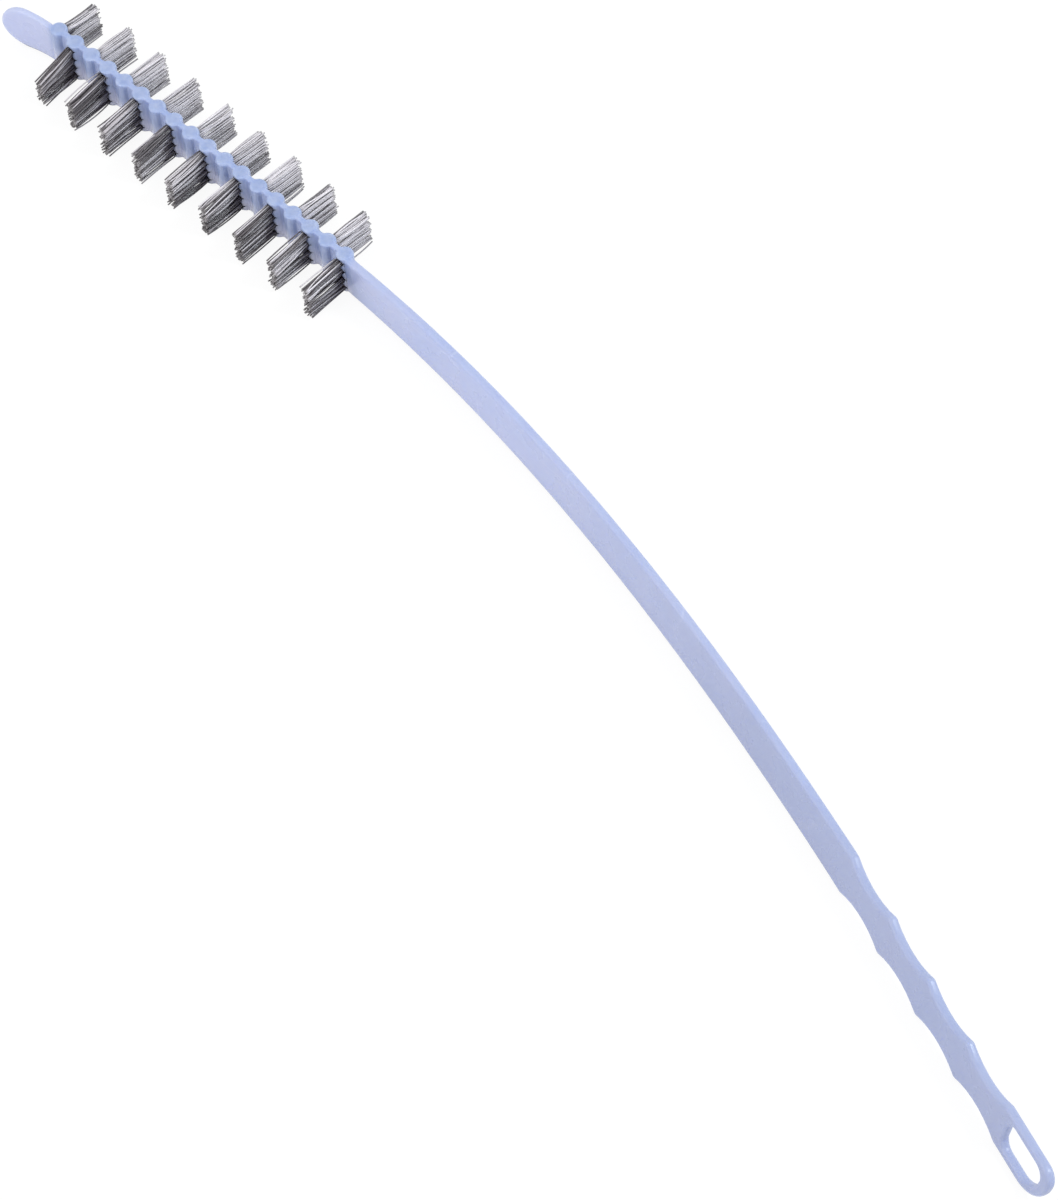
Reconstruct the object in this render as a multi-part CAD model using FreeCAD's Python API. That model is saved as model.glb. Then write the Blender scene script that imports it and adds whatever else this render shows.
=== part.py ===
"""Crevice brush: a moulded strip with a tongue, a tufted head, a bent handle and a hanging loop.

Lengths are millimetres and angles are degrees. The brush lies on its narrow edge: X runs from
the tongue to the loop, Y to the back, and Z up the width of the strip.
"""
import FreeCAD, Part
import math
import os

# Core of the head: a row of upright posts joined by a thin web, with tufts on alternate sides
columns_per_side = 9
column_pitch = 10.7
core_height = 11.0
core_edge_radius = 0.58
post_diameter = 3.85
web_thickness = 1.45
web_fillet = 0.6
web_reach_share = 0.46

# Tongue and strip are this wide where they meet the posts
plate_root_width = 10.8

# Tufts: bundles of bristles folded over a flat wire at the bottom of a blind hole
tufts_per_column = 4
hole_diameter = 2.1
hole_margin = 0.6
hole_floor = 0.8
front_tuft_reach = 9.9
front_tip_drop = 0.6
front_gather_share = 0.12
back_tuft_reach = 9.2
back_tip_drop = 0.0
back_gather_share = 0.05
tuft_tip_length = 2.5
tuft_gap = 0.15
tuft_clearance = 0.15
fold_thickness = 0.5

# Anchors: the flat wires, which bite into both sides of their hole
anchor_thickness = 0.3
anchor_depth = 1.2
anchor_bite = 0.25
anchor_clearance = 0.03

# Tongue: a thin rounded spatula ahead of the first post, set to the front and bent that way
tongue_length = 15.0
tongue_width = 11.6
tongue_thickness = 1.5
tongue_offset = 0.65
tongue_bend_radius = 34.0
tongue_edge_radius = 0.62

# Strip: the flat handle, set to the front too, which sweeps that way and turns its front face upwards
strip_thickness = 1.95
strip_offset = 0.5
strip_edge_radius = 0.78
bend_length = 179.8
set_angle = 1.46
sweep_angle = 19.0
sweep_ease = 2.0
twist_angle = 14.7
twist_ease = 2.6
section_spacing = 15.0
steps_per_section = 10

# Grip: scalloped edges between cusps, then a loop round a hanging slot, rounder at its lower corner
grip_width = 11.1
grip_lead = 2.0
scallop_count = 4
scallop_pitch = 15.1
scallop_depth = 1.75
cusp_radius = 0.9
loop_length = 16.8
loop_corner_radius = 3.2
loop_end_bar = 2.8
slot_width = 7.3
slot_length = 11.9
slot_corner_radius = 2.2

# Every cut runs past the surface that it opens by this much
overrun = 1.0

# An edge is rounded by no more than this share of the wall it belongs to
round_limit_share = 0.42

# A length under this tells that two places are the same
same_place = 1e-4

half_pitch = column_pitch / 2
post_radius = post_diameter / 2
post_places = [(index - 1) * half_pitch for index in range(2 * columns_per_side)]
tuft_spacing = (core_height - 2 * hole_margin - hole_diameter) / (tufts_per_column - 1)
tuft_heights = [(index - (tufts_per_column - 1) / 2) * tuft_spacing for index in range(tufts_per_column)]
cusp_places = [grip_lead + index * scallop_pitch for index in range(scallop_count + 1)]
grip_length = cusp_places[-1] + loop_length
handle_length = bend_length + grip_length
loop_side_bar = (grip_width - slot_width) / 2
thinnest_strip_wall = min(strip_thickness, loop_side_bar, loop_end_bar)
strip_round = min(strip_edge_radius, round_limit_share * thinnest_strip_wall)
front_side = -1
back_side = 1


def vector(x, y, z):
    return FreeCAD.Vector(x, y, z)


def box(low, high):
    """A box between two corners."""
    size = high - low
    return Part.makeBox(size.x, size.y, size.z, low)


def core():
    """The posts and webs of the head as one upright prism."""
    half_web = web_thickness / 2
    reach_limit = web_reach_share * half_pitch
    widest_fillet = (reach_limit ** 2 - post_radius ** 2 + half_web ** 2) / (2 * (post_radius - half_web))
    fillet = min(web_fillet, widest_fillet)
    reach = math.sqrt((post_radius + fillet) ** 2 - (half_web + fillet) ** 2)
    touch_share = post_radius / (post_radius + fillet)
    base = -core_height / 2
    last = len(post_places) - 1
    edges = []
    for side in (front_side, back_side):
        for index, x in enumerate(post_places):
            middle = vector(x, 0, base)
            ends = []
            for way in (-1, 1):
                if (index == 0 and way < 0) or (index == last and way > 0):
                    ends.append(vector(x + way * post_radius, 0, base))
                    continue
                centre = vector(x + way * reach, side * (half_web + fillet), base)
                on_post = middle + (centre - middle) * touch_share
                on_web = vector(centre.x, side * half_web, base)
                inward = (middle - centre).normalize() + vector(0, -side, 0)
                between = centre + inward.normalize() * fillet
                edges.append(Part.Arc(on_post, between, on_web).toShape())
                ends.append(on_post)
                if way > 0:
                    next_web = vector(post_places[index + 1] - reach, on_web.y, base)
                    edges.append(Part.LineSegment(on_web, next_web).toShape())
            crown = vector(x, side * post_radius, base)
            edges.append(Part.Arc(ends[0], crown, ends[1]).toShape())
    outline = Part.Wire(Part.sortEdges(edges)[0])
    prism = Part.Face(outline).extrude(vector(0, 0, core_height))
    rims = [edge for edge in prism.Edges if abs(edge.Vertexes[0].Z - edge.Vertexes[-1].Z) < same_place]
    return prism.makeFillet(min(core_edge_radius, round_limit_share * web_thickness), rims)


def tongue():
    """The spatula: an upright curved band, cut to a round end and softened along its edges."""
    root = post_places[0]
    root_half = plate_root_width / 2
    half = tongue_width / 2
    tip = root - tongue_length
    outer_radius = tongue_bend_radius + tongue_thickness / 2
    inner_radius = tongue_bend_radius - tongue_thickness / 2
    axis_place = -tongue_offset - tongue_bend_radius
    axis_foot = vector(root, axis_place, -half)
    outer = Part.makeCylinder(outer_radius, tongue_width, axis_foot)
    band = outer.cut(Part.makeCylinder(inner_radius, tongue_width, axis_foot))
    round_start = tip + half
    corners = [vector(root, axis_place, -root_half), vector(round_start, axis_place, -half),
               vector(tip, axis_place, 0), vector(round_start, axis_place, half),
               vector(root, axis_place, root_half)]
    outline = Part.Wire([Part.LineSegment(corners[0], corners[1]).toShape(),
                         Part.Arc(corners[1], corners[2], corners[3]).toShape(),
                         Part.LineSegment(corners[3], corners[4]).toShape(),
                         Part.LineSegment(corners[4], corners[0]).toShape()])
    plate = band.common(Part.Face(outline).extrude(vector(0, outer_radius + overrun, 0)))
    rims = []
    for face in plate.Faces:
        upright = isinstance(face.Surface, Part.Cylinder) and abs(face.Surface.Axis.z) > 0.5
        if upright:
            for edge in face.Edges:
                if min(point.X for point in edge.Vertexes) < root - same_place:
                    rims.append(edge)
    radius = min(tongue_edge_radius, round_limit_share * tongue_thickness)
    return plate.makeFillet(radius, rims)


def eased(share, power):
    """A share from 0 to 1 that rises fast at first and settles at the end."""
    return 1 - (1 - share) ** power


class Station:
    """One place on the handle: its middle, its axes and its width, by its distance along it."""

    def __init__(self, place, distance):
        share = distance / handle_length
        sweep = math.radians(set_angle + (sweep_angle - set_angle) * eased(share, sweep_ease))
        twist = math.radians(twist_angle * eased(share, twist_ease))
        level = vector(math.sin(sweep), math.cos(sweep), 0)
        upright = vector(0, 0, 1)
        self.place = place
        self.along = vector(math.cos(sweep), -math.sin(sweep), 0)
        self.through = level * math.cos(twist) - upright * math.sin(twist)
        self.across = upright * math.cos(twist) + level * math.sin(twist)
        self.width = plate_root_width + (grip_width - plate_root_width) * min(distance / bend_length, 1)

    def point(self, along, through, across):
        return self.place + self.along * along + self.through * through + self.across * across

    def local(self, point):
        """A point's distances along, through and across the strip from here."""
        offset = point - self.place
        return vector(offset.dot(self.along), offset.dot(self.through), offset.dot(self.across))


def strip_stations():
    """The strip's stations from the middle of the last post to the grip, which lies as its middle does."""
    steps = round(bend_length / section_spacing) * steps_per_section
    step = bend_length / steps
    place = vector(post_places[-1], -strip_offset, 0)
    stations = [Station(place, 0)]
    for index in range(steps):
        place = place + Station(place, (index + 0.5) * step).along * step
        if (index + 1) % steps_per_section == 0:
            stations.append(Station(place, (index + 1) * step))
    stations[-1] = Station(place, bend_length + grip_length / 2)
    return stations


def strip_section(station):
    """A rounded rectangle across the strip."""
    half_thick = strip_thickness / 2
    half_wide = station.width / 2
    bulge = strip_round * (1 - math.sqrt(0.5))
    edges = []
    for thick_way, wide_way in ((1, 1), (-1, 1), (-1, -1), (1, -1)):
        on_side = station.point(0, thick_way * half_thick, wide_way * (half_wide - strip_round))
        on_end = station.point(0, thick_way * (half_thick - strip_round), wide_way * half_wide)
        middle = station.point(0, thick_way * (half_thick - bulge), wide_way * (half_wide - bulge))
        arc_points = (on_side, middle, on_end) if thick_way == wide_way else (on_end, middle, on_side)
        edges.append(arc_points)
    wire_edges = []
    for index, arc_points in enumerate(edges):
        following = edges[(index + 1) % len(edges)]
        wire_edges.append(Part.Arc(*arc_points).toShape())
        wire_edges.append(Part.LineSegment(arc_points[2], following[0]).toShape())
    return Part.Wire(wire_edges)


def strip(stations):
    """The bent and turned handle, lofted through its sections."""
    return Part.makeLoft([strip_section(station) for station in stations], True)


class GripFace:
    """Draws on the grip's front face, by distances along the grip and across it from its middle line."""

    def __init__(self, station):
        self.station = station

    def at(self, along, across):
        return self.station.point(along, -strip_thickness / 2, across)

    def line(self, first, second):
        return Part.LineSegment(self.at(*first), self.at(*second)).toShape()

    def arc(self, first, middle, last):
        return Part.Arc(self.at(*first), self.at(*middle), self.at(*last)).toShape()

    def corner(self, centre, radius, along_way, across_way):
        """A quarter circle round a centre, towards one corner of the grip."""
        along, across = centre
        lean = radius * math.sqrt(0.5)
        first = (along, across + across_way * radius)
        middle = (along + along_way * lean, across + across_way * lean)
        last = (along + along_way * radius, across)
        return self.arc(first, middle, last)

    def far_end(self, end, width, radius):
        """A small upper corner that runs into a large lower one."""
        large = width - radius
        level = width / 2 - radius
        upper = self.corner((end - radius, level), radius, 1, 1)
        lower = self.corner((end - large, level), large, 1, -1)
        return [upper, lower]

    def plate(self, edges):
        """A plate as thick as the strip, within an outline."""
        outline = Part.Wire(Part.sortEdges(edges)[0])
        return Part.Face(outline).extrude(self.station.through * strip_thickness)


def grip_outline(face):
    """The scalloped edges on both sides and the end of the loop."""
    half_wide = grip_width / 2
    edges = [face.line((0, -half_wide), (0, half_wide))]
    for side, end_radius in ((1, loop_corner_radius), (-1, grip_width - loop_corner_radius)):
        edge = side * half_wide
        notch = side * (half_wide - scallop_depth)
        edges.append(face.line((0, edge), (grip_lead, edge)))
        for start, stop in zip(cusp_places, cusp_places[1:]):
            edges.append(face.arc((start, edge), ((start + stop) / 2, notch), (stop, edge)))
        edges.append(face.line((cusp_places[-1], edge), (grip_length - end_radius, edge)))
    return edges + face.far_end(grip_length, grip_width, loop_corner_radius)


def slot_outline(face):
    """The hanging slot: its far end follows the loop's, and its near corners are equal."""
    half_slot = slot_width / 2
    far = grip_length - loop_end_bar
    near = far - slot_length
    turn = near + slot_corner_radius
    level = half_slot - slot_corner_radius
    edges = face.far_end(far, slot_width, slot_corner_radius)
    edges.append(face.line((near, -level), (near, level)))
    edges.append(face.line((turn, half_slot), (far - slot_corner_radius, half_slot)))
    edges.append(face.line((turn, -half_slot), (far - slot_width + slot_corner_radius, -half_slot)))
    for side in (-1, 1):
        edges.append(face.corner((turn, side * level), slot_corner_radius, -1, side))
    return edges


def cusp_edges(plate, station):
    """The plate's edges that stand between its two faces at the cusps."""
    edges = []
    for edge in plate.Edges:
        first, second = [station.local(vertex.Point) for vertex in edge.Vertexes]
        stands = abs(first.y - second.y) > strip_thickness / 2
        if stands and min(abs(first.x - place) for place in cusp_places) < same_place:
            edges.append(edge)
    return edges


def rim_edges(plate, station):
    """The edges round both faces of the plate, but for those where it joins the strip."""
    half_thick = strip_thickness / 2
    edges = []
    for edge in plate.Edges:
        ends = [station.local(vertex.Point) for vertex in edge.Vertexes]
        on_face = all(abs(abs(end.y) - half_thick) < same_place for end in ends)
        one_face = abs(ends[0].y - ends[-1].y) < half_thick
        at_start = all(abs(end.x) < same_place for end in ends)
        if on_face and one_face and not at_start:
            edges.append(edge)
    return edges


def grip(station):
    """The scalloped grip and the loop, a flat plate in the plane of the strip's last section."""
    face = GripFace(station)
    plate = face.plate(grip_outline(face)).cut(face.plate(slot_outline(face)))
    plate = plate.makeFillet(cusp_radius, cusp_edges(plate, station))
    return plate.makeFillet(strip_round, rim_edges(plate, station))


def hole_bottom(side):
    """Where the blind holes of one side end, across the post."""
    return -side * (post_radius - hole_floor)


def span(first, second):
    """Two places in rising order."""
    return min(first, second), max(first, second)


def anchor_span(side):
    """The stretch across the post that an anchor fills."""
    inner = hole_bottom(side) + side * fold_thickness
    return inner, inner + side * anchor_depth


def slab(x, z, start, stop, clearance):
    """A flat box as long and thick as an anchor, grown by a clearance, from start to stop in Y."""
    half_long = hole_diameter / 2 + anchor_bite + clearance
    half_thick = anchor_thickness / 2 + clearance
    low, high = span(start, stop)
    return box(vector(x - half_long, low, z - half_thick), vector(x + half_long, high, z + half_thick))


def hole(x, z, side):
    """The blind hole of one tuft, with the grooves that its anchor cuts on the way in."""
    bottom = hole_bottom(side)
    mouth = side * (post_radius + overrun)
    foot = vector(x, bottom, z)
    bore = Part.makeCylinder(hole_diameter / 2, abs(mouth - bottom), foot, vector(0, side, 0))
    groove = slab(x, z, anchor_span(side)[0] - side * anchor_clearance, mouth, anchor_clearance)
    return [bore, groove]


def anchor(x, z, side):
    """One flat wire across its hole."""
    inner, outer = anchor_span(side)
    return slab(x, z, inner, outer, 0)


def oval(x, y, z, half_long, half_high):
    """An upright oval round an axis along Y."""
    stretch = FreeCAD.Matrix()
    stretch.scale(half_long, 1, half_high)
    unit = Part.Wire(Part.makeCircle(1, vector(0, 0, 0), vector(0, 1, 0)))
    ring = unit.transformGeometry(stretch)
    ring.translate(vector(x, y, z))
    return ring


def tuft(x, z, side, reach, drop, gather_share):
    """One bundle: a round root folded over its anchor, and a free part that leans to an oval tip."""
    root_radius = hole_diameter / 2 - tuft_clearance
    bottom = hole_bottom(side) + side * tuft_clearance
    mouth = side * post_radius
    tip = mouth + side * reach
    foot = vector(x, bottom, z)
    root = Part.makeCylinder(root_radius, abs(mouth - bottom), foot, vector(0, side, 0))
    root_ring = oval(x, mouth, z, root_radius, root_radius)
    tip_spacing = tuft_spacing * (1 - gather_share)
    tip_height = z * (1 - gather_share) - drop
    tip_ring = oval(x, tip, tip_height, tuft_tip_length / 2, (tip_spacing - tuft_gap) / 2)
    bundle = root.fuse(Part.makeLoft([root_ring, tip_ring], True))
    inner, outer = anchor_span(side)
    room = slab(x, z, inner - side * anchor_clearance, outer + side * anchor_clearance, anchor_clearance)
    return bundle.cut(room)


def column_places(side):
    """The posts that carry the tufts of one side."""
    first = 0 if side == back_side else 1
    return post_places[first::2]


def moulded_body(stations):
    """The one-piece moulding with all its tuft holes."""
    body = core().multiFuse([tongue(), strip(stations), grip(stations[-1])]).removeSplitter()
    tools = []
    for side in (front_side, back_side):
        for x in column_places(side):
            for z in tuft_heights:
                tools.extend(hole(x, z, side))
    return body.cut(tools)


def build():
    """All nodes by name, each a list of solids."""
    nodes = {"moulded_body": moulded_body(strip_stations()).Solids}
    front = ("front", front_side, (front_tuft_reach, front_tip_drop, front_gather_share))
    back = ("back", back_side, (back_tuft_reach, back_tip_drop, back_gather_share))
    for name, side, form in (front, back):
        anchors = []
        for number, x in enumerate(column_places(side), 1):
            nodes[f"{name}_tufts_{number:02d}"] = [tuft(x, z, side, *form) for z in tuft_heights]
            anchors.extend(anchor(x, z, side) for z in tuft_heights)
        nodes[f"{name}_anchors"] = anchors
    return nodes


nodes = build()
everything = Part.makeCompound([solid for solids in nodes.values() for solid in solids])
bounds = everything.optimalBoundingBox(False, False)
to_origin = vector(-bounds.Center.x, -bounds.Center.y, -bounds.ZMin)

os.makedirs("parts", exist_ok=True)
for name, solids in nodes.items():
    shape = Part.makeCompound(solids) if len(solids) > 1 else solids[0]
    shape.translate(to_origin)
    shape.exportStep(f"parts/{name}.step")
    print(name, len(solids), "solids, volume", round(shape.Volume, 2), "valid", shape.isValid())
print("overall", [round(length, 2) for length in (bounds.XLength, bounds.YLength, bounds.ZLength)])
print("origin moved by", [round(value, 4) for value in to_origin])
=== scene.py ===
"""Crevice brush: finishes, bristles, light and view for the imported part.

Lengths are metres, in the part's own frame: X runs from the tongue to the loop, Y to the back
of the head, and Z up the width of the strip. Colours are linear.
"""

from collections import namedtuple
import math
import random

import bpy
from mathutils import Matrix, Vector


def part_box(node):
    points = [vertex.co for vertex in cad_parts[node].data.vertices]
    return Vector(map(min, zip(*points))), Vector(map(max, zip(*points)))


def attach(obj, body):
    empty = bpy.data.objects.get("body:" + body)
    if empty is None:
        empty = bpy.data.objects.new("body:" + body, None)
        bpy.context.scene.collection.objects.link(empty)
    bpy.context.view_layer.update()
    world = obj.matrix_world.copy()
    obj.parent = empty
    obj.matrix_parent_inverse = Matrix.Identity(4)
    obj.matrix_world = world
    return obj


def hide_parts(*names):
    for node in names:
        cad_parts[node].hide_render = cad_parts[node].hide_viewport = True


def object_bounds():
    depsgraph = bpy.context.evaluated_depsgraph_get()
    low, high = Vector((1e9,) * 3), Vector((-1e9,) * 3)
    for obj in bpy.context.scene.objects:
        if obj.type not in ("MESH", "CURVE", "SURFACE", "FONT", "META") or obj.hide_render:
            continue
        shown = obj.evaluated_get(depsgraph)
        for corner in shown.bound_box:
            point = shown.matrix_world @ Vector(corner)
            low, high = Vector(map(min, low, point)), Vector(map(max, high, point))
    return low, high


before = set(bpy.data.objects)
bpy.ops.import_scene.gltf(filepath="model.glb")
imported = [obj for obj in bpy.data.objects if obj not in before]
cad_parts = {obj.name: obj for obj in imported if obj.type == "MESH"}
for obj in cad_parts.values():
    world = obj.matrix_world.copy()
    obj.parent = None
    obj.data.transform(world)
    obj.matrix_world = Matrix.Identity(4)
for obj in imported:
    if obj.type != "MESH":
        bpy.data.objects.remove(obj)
cad_low, cad_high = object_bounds()

# View: the photograph's own, as a place, a turn about X, Y and Z, and a focal length in millimetres
camera_place = (0.44553, -0.36067, 0.80151)
camera_turn_degrees = (34.816, 3.391, 45.794)
camera_lens = 146.82

# Bristles: filaments folded in half under a flat wire, so that each shows two free ends
tufts_per_column = 4
filaments_per_tuft = 11
bristle_radius = 0.000165
bristle_sides = 6
anchor_thickness = 0.0003
root_depth = 0.0029
root_radius = 0.00088
tuft_gap = 0.00015
fold_depth = 0.00046
fold_half_width = 0.0003
fold_share = 0.6
golden_angle = math.pi * (3 - math.sqrt(5))
turn_scatter = 0.3
tip_scatter = 0.00018
length_scatter = 0.00042
bow = 0.00017
tip_half_length = 0.00111

# Bristles, by the share of their free length: where the bundle has spread, where the cut end starts, and
# the points of a filament. Shades run from 0 for the darkest bristle to 1 for the palest
splay_share = 0.02
cut_share = 0.95
free_shares = (splay_share, 0.2, 0.4, 0.6, 0.8, cut_share, 1.0)
pale_shades = (0.66, 1.0)
dark_shades = (0.0, 0.12)

# Form of a column: how its tips gather, drop and fall short of its solids, how unruly its filaments
# are, the shares of pale ones and of roots spared the painted root shade, and the hairs that stand away
# from each bundle. The front columns' lower pale shares are partly their own darker filaments and partly
# painted shade, for the front tufts lie in shade
Form = namedtuple("Form", "gather drop shortfall unruly pale_share clean_share strays")
front_form = Form(gather=0.12, drop=0.0006, shortfall=0.0, unruly=1.0, pale_share=0.46, clean_share=0.0,
                  strays=0)
back_form = Form(gather=0.05, drop=0.0, shortfall=0.0, unruly=0.8, pale_share=0.97, clean_share=0.28,
                 strays=0)
column_forms = {
    "front_tufts_01": front_form._replace(gather=0.37, drop=0.0019, shortfall=0.0002, unruly=1.6,
                                          pale_share=0.36),
    "front_tufts_02": front_form._replace(gather=0.2, drop=0.00105, unruly=1.1, pale_share=0.48),
    "front_tufts_03": front_form._replace(gather=0.16, drop=0.0008, pale_share=0.52),
    "front_tufts_04": front_form._replace(pale_share=0.56),
    "front_tufts_07": front_form._replace(pale_share=0.38),
    "front_tufts_08": front_form._replace(pale_share=0.4),
    "front_tufts_09": front_form._replace(unruly=1.4, pale_share=0.4),
    "back_tufts_01": back_form._replace(gather=0.08, shortfall=0.0006, pale_share=0.78),
    "back_tufts_08": back_form._replace(strays=1),
    "back_tufts_09": back_form._replace(strays=1),
}
stray_times = 3.5

# Light: a soft key from behind and the loop's end, a weak fill from the front and a pale room
key_place = (0.63, 0.45, 0.89)
key_size = 0.25
key_power = 5.0
key_colour = (0.86, 0.96, 1.0)
fill_place = (-0.17, -0.44, 0.2)
fill_size = 0.4
fill_power = 0.75
fill_colour = (1.0, 0.97, 0.98)
room_colour = (1.0, 1.0, 1.0, 1.0)
room_strength = 0.74
floor_reach = 3.0
floor_colour = (0.9, 0.9, 0.9, 1.0)
floor_glow = 1.05
floor_glow_share = 0.86

# Finishes: a slope is a share that runs from first to last while a value runs from start to end, and a
# tint is a colour that is laid on by such a share. The value is of a noise, place, direction or openness
Slope = namedtuple("Slope", "start end first last")
Tint = namedtuple("Tint", "start end first last colour")
Noise = namedtuple("Noise", "scale detail")
Stretch = namedtuple("Stretch", "turn_degrees scale")
openness_samples = 8
line_noise = Noise(1.0, 3.0)

# Plastic all over: lavender blue in clouds, with flow lines, patches, scuffs and a fine grain
plastic_blue = (0.435, 0.495, 0.74, 1.0)
cloud_noise = Noise(55.0, 4.0)
cloud_tint = Tint(0.35, 0.65, 0.0, 1.0, (0.475, 0.52, 0.745, 1.0))
flow_stretch = Stretch(17, (14.0, 160.0, 160.0))
flow_tint = Tint(0.5, 0.72, 0.0, 0.35, (0.53, 0.57, 0.80, 1.0))
patch_noise = Noise(330.0, 3.0)
patch_tint = Tint(0.4, 0.62, 0.0, 0.3, (0.47, 0.55, 0.79, 1.0))
scuff_stretch = Stretch(12, (28.0, 60.0, 95.0))
scuff_slope = Slope(0.0, 0.012, 1.0, 0.0)
wear_noise = Noise(38.0, 2.0)
wear_tint = Tint(0.5, 0.62, 0.0, 0.4, (0.62, 0.66, 0.86, 1.0))
plastic_gloss_noise = Noise(160.0, 4.0)
plastic_roughness = Slope(0.3, 0.7, 0.23, 0.33)
grain_noise = Noise(1500.0, 3.0)
grain_strength = 0.04
grain_depth = 0.00004
plastic_refraction = 1.49
plastic_scatter_share = 0.5
plastic_scatter_radius = (0.9, 0.95, 1.0)
plastic_scatter_depth = 0.002

# Plastic along X: a paler tongue, a deeper blue head, and painted shade on the handle's faces towards the
# grip and on the grip's rims
tongue_end = cad_low.x + 0.01317
core_end = cad_low.x + 0.10807
shade_start = cad_high.x - 0.19867
grip_start = cad_high.x - 0.09367
tongue_tint = Tint(tongue_end - 0.001, tongue_end, 0.7, 0.0, (0.58, 0.62, 0.84, 1.0))
head_start_slope = Slope(tongue_end, tongue_end + 0.0005, 0.0, 1.0)
head_end_slope = Slope(core_end, core_end + 0.0014, 1.0, 0.0)
far_handle_painted_shade = Tint(shade_start, shade_start + 0.09, 0.0, 0.53, (0.295, 0.34, 0.525, 1.0))
grip_rim_painted_shade = Tint(grip_start, grip_start + 0.02, 0.0, 0.3, (0.33, 0.375, 0.55, 1.0))

# Plastic by how far its surface looks up or down: the wide faces, the rims and the posts' flanks
face_slope = Slope(0.3, 0.95, 1.0, 0.25)
rim_slope = Slope(0.3, 0.8, 0.0, 1.0)
flank_slope = Slope(0.25, 0.6, 1.0, 0.0)

# Plastic of the head: a deeper blue in clouds, with lines drawn down the flanks, painted shade at the
# flanks' tops and painted light at their bottoms
core_blue = (0.335, 0.425, 0.70, 1.0)
core_noise = Noise(650.0, 3.0)
core_tint = Tint(0.35, 0.65, 0.0, 1.0, (0.425, 0.505, 0.76, 1.0))
core_share = 0.9
drawn_noise = Noise(1.0, 2.0)
drawn_stretch = Stretch(0, (2600.0, 2600.0, 25.0))
drawn_tint = Tint(0.48, 0.7, 0.0, 0.42, (0.24, 0.28, 0.50, 1.0))
drawn_strength = 0.35
drawn_depth = 0.00006
upper_flank_painted_shade = Tint(0.004, 0.0095, 0.0, 0.2, (0.21, 0.28, 0.56, 1.0))
lower_flank_painted_light = Tint(0.002, 0.007, 0.85, 0.0, (0.72, 0.735, 0.94, 1.0))

# Plastic in its own hollows, and where other pieces stand beside it: painted shade
hollow_reach = 0.0012
hollow_painted_shade = Tint(0.12, 0.65, 0.6, 0.0, (0.06, 0.07, 0.13, 1.0))
beside_reach = 0.0009
beside_painted_shade = Tint(0.05, 0.22, 0.0, 0.9, (0.05, 0.055, 0.09, 1.0))

# Bristle finish: greys by each filament's shade, painted shade low down, at the root and between the
# filaments, and darker cut ends
dark_bristle = (0.077, 0.063, 0.073, 1.0)
pale_bristle = (0.89, 0.845, 0.895, 1.0)
mottle_noise = Noise(900.0, 3.0)
mottle_tint = Tint(0.35, 0.65, 0.0, 0.15, (0.40, 0.39, 0.40, 1.0))
low_bristle_painted_shade = Tint(0.001, 0.0075, 0.62, 0.0, (0.066, 0.053, 0.063, 1.0))
root_painted_shade = Tint(0.0, 0.34, 0.8, 0.0, (0.045, 0.036, 0.046, 1.0))
cut_tint = Tint(cut_share, 1.0, 0.0, 0.6, (0.17, 0.165, 0.16, 1.0))
between_reach = 0.001
between_painted_shade = Tint(0.08, 0.42, 0.85, 0.0, (0.034, 0.027, 0.034, 1.0))
bristle_gloss_noise = Noise(2200.0, 2.0)
bristle_roughness = Slope(0.3, 0.7, 0.16, 0.3)
bristle_refraction = 1.53

# Wire finish: fine lines along the wire
dark_wire = (0.62, 0.61, 0.58, 1.0)
pale_wire = (0.80, 0.79, 0.76, 1.0)
wire_stretch = Stretch(0, (300.0, 9000.0, 9000.0))
wire_roughness = Slope(0.3, 0.7, 0.25, 0.45)


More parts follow.
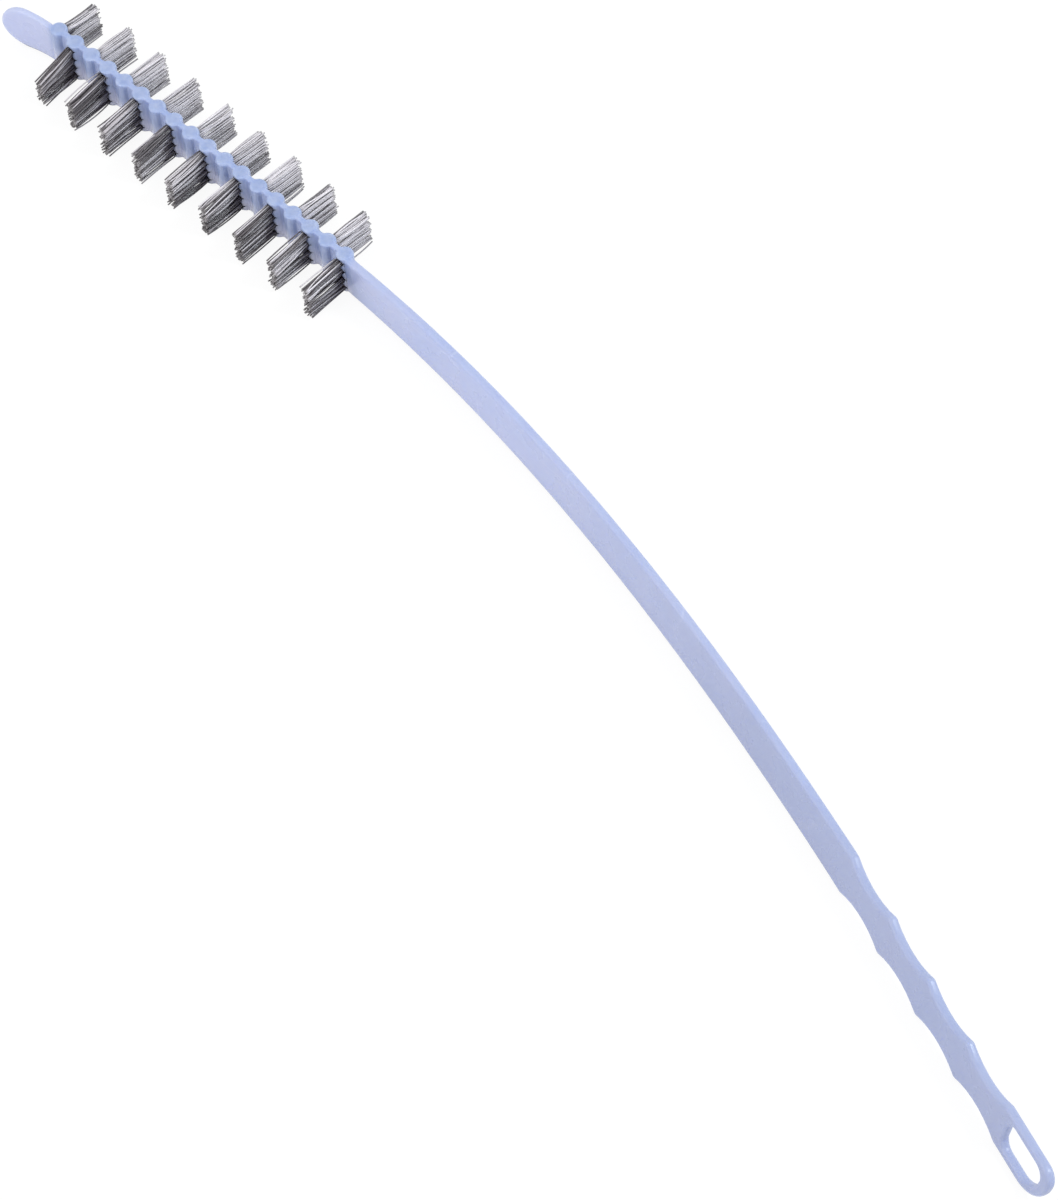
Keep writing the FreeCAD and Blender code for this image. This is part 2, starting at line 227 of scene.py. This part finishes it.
class Shader:
    """The nodes of a material or world, built by name."""

    def __init__(self, owner, output="ShaderNodeOutputMaterial"):
        owner.use_nodes = True
        self.owner = owner
        self.tree = owner.node_tree
        self.tree.nodes.clear()
        self.output = self.add(output)

    def add(self, kind, settings=None, **inputs):
        """A new node. Settings are its own properties, and inputs are constants or other nodes' sockets.

        An input goes by its socket's name, or by an underscore and the socket's place.
        """
        node = self.tree.nodes.new(kind)
        for key, value in (settings or {}).items():
            setattr(node, key, value)
        for key, value in inputs.items():
            socket = node.inputs[int(key[1:]) if key[0] == "_" else key.replace("_", " ")]
            if isinstance(value, bpy.types.NodeSocket):
                self.tree.links.new(value, socket)
            else:
                socket.default_value = value
        return node

    def calculate(self, operation, first, second):
        return self.add("ShaderNodeMath", {"operation": operation}, _0=first, _1=second).outputs[0]

    def times(self, first, second):
        return self.calculate("MULTIPLY", first, second)

    def blend(self, share, first, second):
        """A colour between two. The colour sockets come after the node's number and vector sockets."""
        node = self.add("ShaderNodeMix", {"data_type": "RGBA"}, _0=share, _6=first, _7=second)
        return node.outputs[2]

    def share(self, value, slope):
        """The share that a slope or tint has at a value, held at both ends."""
        node = self.add("ShaderNodeMapRange", {"clamp": True}, _0=value, _1=slope.start, _2=slope.end,
                        _3=slope.first, _4=slope.last)
        return node.outputs["Result"]

    def lay(self, colour, value, tint, within=None):
        """A colour with a tint laid on it, all over or only within a share."""
        share = self.share(value, tint)
        if within is not None:
            share = self.times(share, within)
        return self.blend(share, colour, tint.colour)

    def place(self):
        return self.add("ShaderNodeTexCoord").outputs["Object"]

    def axes(self, vector):
        return self.add("ShaderNodeSeparateXYZ", Vector=vector).outputs

    def stretched(self, place, stretch):
        """A place that is scaled along each axis and turned about Z."""
        turn = (0, 0, math.radians(stretch.turn_degrees))
        return self.add("ShaderNodeMapping", Vector=place, Rotation=turn, Scale=stretch.scale).outputs[0]

    def noise(self, place, noise, stretch=None):
        spot = self.stretched(place, stretch) if stretch else place
        node = self.add("ShaderNodeTexNoise", Vector=spot, Scale=noise.scale, Detail=noise.detail)
        return node.outputs["Fac"]

    def openness(self, reach, own):
        """How open a place is to what lies within reach, or to its own piece alone: 0 in deep hollows."""
        settings = {"only_local": own, "samples": openness_samples}
        return self.add("ShaderNodeAmbientOcclusion", settings, Distance=reach).outputs["AO"]

    def beside(self, reach):
        """How much of a place's openness is taken by other pieces."""
        return self.calculate("SUBTRACT", self.openness(reach, True), self.openness(reach, False))

    def seen(self):
        """1 where the surface is looked at, directly or in gloss or glass, and 0 where it gives light."""
        rays = self.add("ShaderNodeLightPath").outputs
        seen = rays["Is Camera Ray"]
        for kind in ("Is Glossy Ray", "Is Transmission Ray"):
            seen = self.calculate("MAXIMUM", seen, rays[kind])
        return seen

    def finish(self, surface):
        self.tree.links.new(surface.outputs[0], self.output.inputs["Surface"])
        return self.owner


def material_shader(name):
    return Shader(bpy.data.materials.new(name))


def plastic_skin(shader, place):
    """The plastic's colour all over: clouds, flow lines, patches and fine scuffs."""
    colour = shader.lay(plastic_blue, shader.noise(place, cloud_noise), cloud_tint)
    colour = shader.lay(colour, shader.noise(place, line_noise, flow_stretch), flow_tint)
    colour = shader.lay(colour, shader.noise(place, patch_noise), patch_tint)
    cells = shader.add("ShaderNodeTexVoronoi", {"feature": "DISTANCE_TO_EDGE"},
                       Vector=shader.stretched(place, scuff_stretch), Scale=1.0)
    scuffs = shader.share(cells.outputs["Distance"], scuff_slope)
    return shader.lay(colour, shader.noise(place, wear_noise), wear_tint, scuffs)


def handle_painted_shade_and_tongue(shader, colour, along, level):
    """The plastic's changes along X: painted shade on the handle's far end and on the grip's rim, and the
    paler tongue.
    """
    colour = shader.lay(colour, along, far_handle_painted_shade, shader.share(level, face_slope))
    colour = shader.lay(colour, along, grip_rim_painted_shade, shader.share(level, rim_slope))
    return shader.lay(colour, along, tongue_tint)


def flank_lines_and_painted_light(shader, colour, height, drawn, flank):
    """The plastic's changes on the posts' flanks: drawn lines, painted shade at the top and painted light
    at the bottom.
    """
    colour = shader.lay(colour, drawn, drawn_tint, flank)
    colour = shader.lay(colour, height, upper_flank_painted_shade, flank)
    return shader.lay(colour, height, lower_flank_painted_light, flank)


def moulded_plastic():
    """Pale lavender blue plastic with a deeper blue head, and painted shade in hollows and beside the
    bristles.
    """
    shader = material_shader("moulded_plastic")
    place = shader.place()
    axes = shader.axes(place)
    facing = shader.axes(shader.add("ShaderNodeNewGeometry").outputs["Normal"])
    level = shader.add("ShaderNodeMath", {"operation": "ABSOLUTE"}, _0=facing["Z"]).outputs[0]
    head = shader.times(shader.share(axes["X"], head_start_slope), shader.share(axes["X"], head_end_slope))
    flank = shader.times(shader.share(level, flank_slope), head)
    drawn = shader.noise(place, drawn_noise, drawn_stretch)

    colour = handle_painted_shade_and_tongue(shader, plastic_skin(shader, place), axes["X"], level)
    core = shader.lay(core_blue, shader.noise(place, core_noise), core_tint)
    colour = shader.blend(shader.times(head, core_share), colour, core)
    colour = flank_lines_and_painted_light(shader, colour, axes["Z"], drawn, flank)
    colour = shader.lay(colour, shader.openness(hollow_reach, True), hollow_painted_shade)
    colour = shader.lay(colour, shader.beside(beside_reach), beside_painted_shade)

    lines = shader.add("ShaderNodeBump", Strength=drawn_strength, Distance=drawn_depth,
                       Height=shader.times(drawn, flank))
    skin = shader.add("ShaderNodeBump", Strength=grain_strength, Distance=grain_depth,
                      Height=shader.noise(place, grain_noise), Normal=lines.outputs["Normal"])
    roughness = shader.share(shader.noise(place, plastic_gloss_noise), plastic_roughness)
    return shader.finish(shader.add(
        "ShaderNodeBsdfPrincipled", Base_Color=colour, Roughness=roughness, IOR=plastic_refraction,
        Subsurface_Weight=plastic_scatter_share, Subsurface_Radius=plastic_scatter_radius,
        Subsurface_Scale=plastic_scatter_depth, Normal=skin.outputs["Normal"]))


def bristle():
    """Grey filaments of their own shades, with painted shade low down, at the root and inside the bundle,
    and darker cut ends.
    """
    shader = material_shader("bristle")
    shade, along = [shader.add("ShaderNodeAttribute", {"attribute_name": name}).outputs["Fac"]
                    for name in ("shade", "along")]
    place = shader.place()
    colour = shader.blend(shade, dark_bristle, pale_bristle)
    colour = shader.lay(colour, shader.noise(place, mottle_noise), mottle_tint)
    colour = shader.lay(colour, shader.axes(place)["Z"], low_bristle_painted_shade)
    colour = shader.lay(colour, along, root_painted_shade)
    colour = shader.lay(colour, along, cut_tint)
    colour = shader.lay(colour, shader.openness(between_reach, True), between_painted_shade)
    roughness = shader.share(shader.noise(place, bristle_gloss_noise), bristle_roughness)
    return shader.finish(shader.add("ShaderNodeBsdfPrincipled", Base_Color=colour, Roughness=roughness,
                                    IOR=bristle_refraction))


def anchor_wire():
    """Drawn flat wire with fine lines along it."""
    shader = material_shader("anchor_wire")
    lines = shader.noise(shader.place(), line_noise, wire_stretch)
    colour = shader.blend(lines, dark_wire, pale_wire)
    roughness = shader.share(lines, wire_roughness)
    return shader.finish(shader.add("ShaderNodeBsdfPrincipled", Base_Color=colour, Roughness=roughness,
                                    Metallic=1.0))


def tube(path, radius, sides):
    """Rings of points round a path, carried along it without twisting."""
    rings = []
    turns = [2 * math.pi * step / sides for step in range(sides)]
    side = None
    for index, point in enumerate(path):
        before = path[max(index - 1, 0)]
        after = path[min(index + 1, len(path) - 1)]
        ahead = (after - before).normalized()
        side = ahead.orthogonal() if side is None else side - ahead * side.dot(ahead)
        side.normalize()
        other = ahead.cross(side)
        rings.append([point + (side * math.cos(turn) + other * math.sin(turn)) * radius
                      for turn in turns])
    return rings


class Bundle:
    """The mesh of one column of tufts, filament by filament."""

    def __init__(self):
        self.points = []
        self.faces = []
        self.shade = []
        self.along = []

    def add(self, path, along, shade):
        """One filament: a tube round its path, closed at both ends."""
        first = len(self.points)
        rings = tube(path, bristle_radius, bristle_sides)
        for ring, share in zip(rings, along):
            self.points.extend(ring)
            self.shade.extend([shade] * bristle_sides)
            self.along.extend([share] * bristle_sides)
        for ring in range(len(rings) - 1):
            start = first + ring * bristle_sides
            for step in range(bristle_sides):
                following = (step + 1) % bristle_sides
                self.faces.append((start + step, start + following, start + bristle_sides + following,
                                   start + bristle_sides + step))
        last = first + (len(rings) - 1) * bristle_sides
        self.faces.append(tuple(reversed(range(first, first + bristle_sides))))
        self.faces.append(tuple(range(last, last + bristle_sides)))

    def piece(self, name, material):
        """The object. Its filaments' sides, which have four corners, are smooth, and their ends flat."""
        mesh = bpy.data.meshes.new(name)
        mesh.from_pydata(self.points, [], self.faces)
        for key, values in (("shade", self.shade), ("along", self.along)):
            mesh.attributes.new(key, "FLOAT", "POINT").data.foreach_set("value", values)
        mesh.polygons.foreach_set("use_smooth", [len(face) == 4 for face in self.faces])
        mesh.materials.append(material)
        mesh.update()
        piece = bpy.data.objects.new(name, mesh)
        bpy.context.scene.collection.objects.link(piece)
        return piece


def disc_place(draw, index, count):
    """One of count places spread evenly over a unit disc, with a little scatter."""
    radius = math.sqrt((index + 0.5) / count)
    turn = index * golden_angle + draw.uniform(-turn_scatter, turn_scatter)
    return radius * math.cos(turn), radius * math.sin(turn)


def squared(spot):
    """The like on a square of a place on the unit disc."""
    across, height = spot
    stretch = math.hypot(across, height) / max(abs(across), abs(height))
    return across * stretch, height * stretch


class Tuft:
    """One bundle: the middle of its hole's mouth, the middle of its tips, and half its height at both."""

    def __init__(self, middle, tip, half_heights, form):
        self.middle = middle
        self.tip = tip
        self.half_heights = half_heights
        self.form = form
        self.side = math.copysign(1, tip.y - middle.y)

    def leg(self, draw, spot, unruly):
        """One free end from the hole's mouth to its tip, bowed most in its middle.

        The bundle is round in its hole, and fills the room up to its neighbours just outside it.
        """
        across, height = squared(spot)
        root_half, tip_half = self.half_heights
        mouth = self.middle + Vector((spot[0] * root_radius, 0, spot[1] * root_radius))
        root = self.middle + Vector((across * root_radius, 0, height * root_half))
        stray = tip_scatter * unruly
        tip = self.tip + Vector((across * tip_half_length + draw.gauss(0, stray),
                                 -self.side * draw.uniform(0, length_scatter),
                                 height * tip_half + draw.gauss(0, stray)))
        bend = Vector((draw.gauss(0, bow), 0, draw.gauss(0, bow)))
        free = [root.lerp(tip, share) + bend * (4 * share * (1 - share)) for share in free_shares]
        return [mouth] + free

    def filament(self, draw, bundle, spots, unruly):
        """One bristle folded under its wire, with both of its free ends."""
        legs = [self.leg(draw, spot, unruly) for spot in spots]
        across = draw.uniform(-fold_share, fold_share) * root_radius
        deep = -self.side * (root_depth - bristle_radius)
        shallow = deep + self.side * fold_depth
        fold = [Vector((across, shallow, fold_half_width)), Vector((across, deep, 0)),
                Vector((across, shallow, -fold_half_width))]
        path = list(reversed(legs[0])) + [self.middle + point for point in fold] + legs[1]
        # Columns with roots spared the painted root shade start their share along further on, so their
        # roots get less of it
        unshaded_root = self.form.clean_share
        free = [unshaded_root + (1 - unshaded_root) * share for share in (0.0,) + free_shares]
        along = list(reversed(free)) + [unshaded_root] * len(fold) + free
        shades = pale_shades if draw.random() < self.form.pale_share else dark_shades
        bundle.add(path, along, draw.uniform(*shades))

    def fill(self, draw, bundle):
        """All bristles of the bundle, each from the upper half of the hole to the lower."""
        ends = 2 * filaments_per_tuft
        spots = [disc_place(draw, index, ends) for index in range(ends)]
        spots.sort(key=lambda spot: spot[1])
        for index in range(filaments_per_tuft):
            unruly = self.form.unruly * (stray_times if index < self.form.strays else 1)
            self.filament(draw, bundle, (spots[ends - 1 - index], spots[index]), unruly)


def bristle_column(node, material):
    """All filaments of one column of tufts, in the space that its solids hold."""
    draw = random.Random(node)
    side_name = node.split("_")[0]
    low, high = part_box(node)
    anchors_low, anchors_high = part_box(side_name + "_anchors")
    core_middle = (anchors_low.z + anchors_high.z) / 2
    spacing = (anchors_high.z - anchors_low.z - anchor_thickness) / (tufts_per_column - 1)
    form = column_forms.get(node, back_form if side_name == "back" else front_form)
    side = 1 if side_name == "back" else -1
    bottom, end = (low.y, high.y) if side > 0 else (high.y, low.y)
    column = (low.x + high.x) / 2
    tip_spacing = spacing * (1 - form.gather)
    half_heights = [(room - tuft_gap) / 2 - bristle_radius for room in (spacing, tip_spacing)]
    bundle = Bundle()
    for index in range(tufts_per_column):
        step = index - (tufts_per_column - 1) / 2
        middle = Vector((column, bottom + side * root_depth, core_middle + step * spacing))
        tip_height = core_middle + step * tip_spacing - form.drop
        tip = Vector((column, end - side * form.shortfall, tip_height))
        Tuft(middle, tip, half_heights, form).fill(draw, bundle)
    piece = bundle.piece(node + "_bristles", material)
    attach(piece, "root")
    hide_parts(node)


def finish_nodes():
    """The finishes of the body and anchors, and the bristles in place of the tuft solids."""
    plastic = moulded_plastic()
    wire = anchor_wire()
    hair = bristle()
    for name, node in sorted(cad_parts.items()):
        if "_tufts_" in name:
            bristle_column(name, hair)
            continue
        node.data.materials.clear()
        node.data.materials.append(wire if name.endswith("anchors") else plastic)


def add_floor():
    """A pale floor that looks white and keeps the shadow of what lies on it."""
    mesh = bpy.data.meshes.new("floor")
    corners = [(-floor_reach, -floor_reach, 0), (floor_reach, -floor_reach, 0),
               (floor_reach, floor_reach, 0), (-floor_reach, floor_reach, 0)]
    mesh.from_pydata(corners, [], [(0, 1, 2, 3)])
    floor = bpy.data.objects.new("floor", mesh)
    bpy.context.scene.collection.objects.link(floor)
    shader = material_shader("floor")
    matt = shader.add("ShaderNodeBsdfDiffuse", Color=floor_colour)
    glow = shader.add("ShaderNodeEmission", Strength=floor_glow)
    share = shader.times(shader.seen(), floor_glow_share)
    surface = shader.add("ShaderNodeMixShader", _0=share, _1=matt.outputs[0], _2=glow.outputs[0])
    mesh.materials.append(shader.finish(surface))


def add_lamp(name, place, size, power, colour):
    """A square lamp that looks at the middle of the part."""
    lamp = bpy.data.lights.new(name, "AREA")
    lamp.color = colour
    lamp.size = size
    lamp.energy = power
    holder = bpy.data.objects.new(name, lamp)
    holder.location = place
    holder.rotation_euler = (-Vector(place)).to_track_quat("-Z", "Y").to_euler()
    bpy.context.scene.collection.objects.link(holder)


def add_room():
    """An even white room: it lights the object weakly and looks white."""
    shader = Shader(bpy.data.worlds.new("room"), "ShaderNodeOutputWorld")
    strength = shader.share(shader.seen(), Slope(0.0, 1.0, room_strength, 1.0))
    room = shader.add("ShaderNodeBackground", Color=room_colour, Strength=strength)
    bpy.context.scene.world = shader.finish(room)


def add_camera():
    data = bpy.data.cameras.new("camera")
    data.lens = camera_lens
    camera = bpy.data.objects.new("camera", data)
    camera.location = camera_place
    camera.rotation_euler = [math.radians(angle) for angle in camera_turn_degrees]
    bpy.context.scene.collection.objects.link(camera)
    bpy.context.scene.camera = camera


add_camera()
finish_nodes()
add_floor()
add_lamp("key", key_place, key_size, key_power, key_colour)
add_lamp("fill", fill_place, fill_size, fill_power, fill_colour)
add_room()
bpy.context.scene.view_settings.view_transform = "Standard"
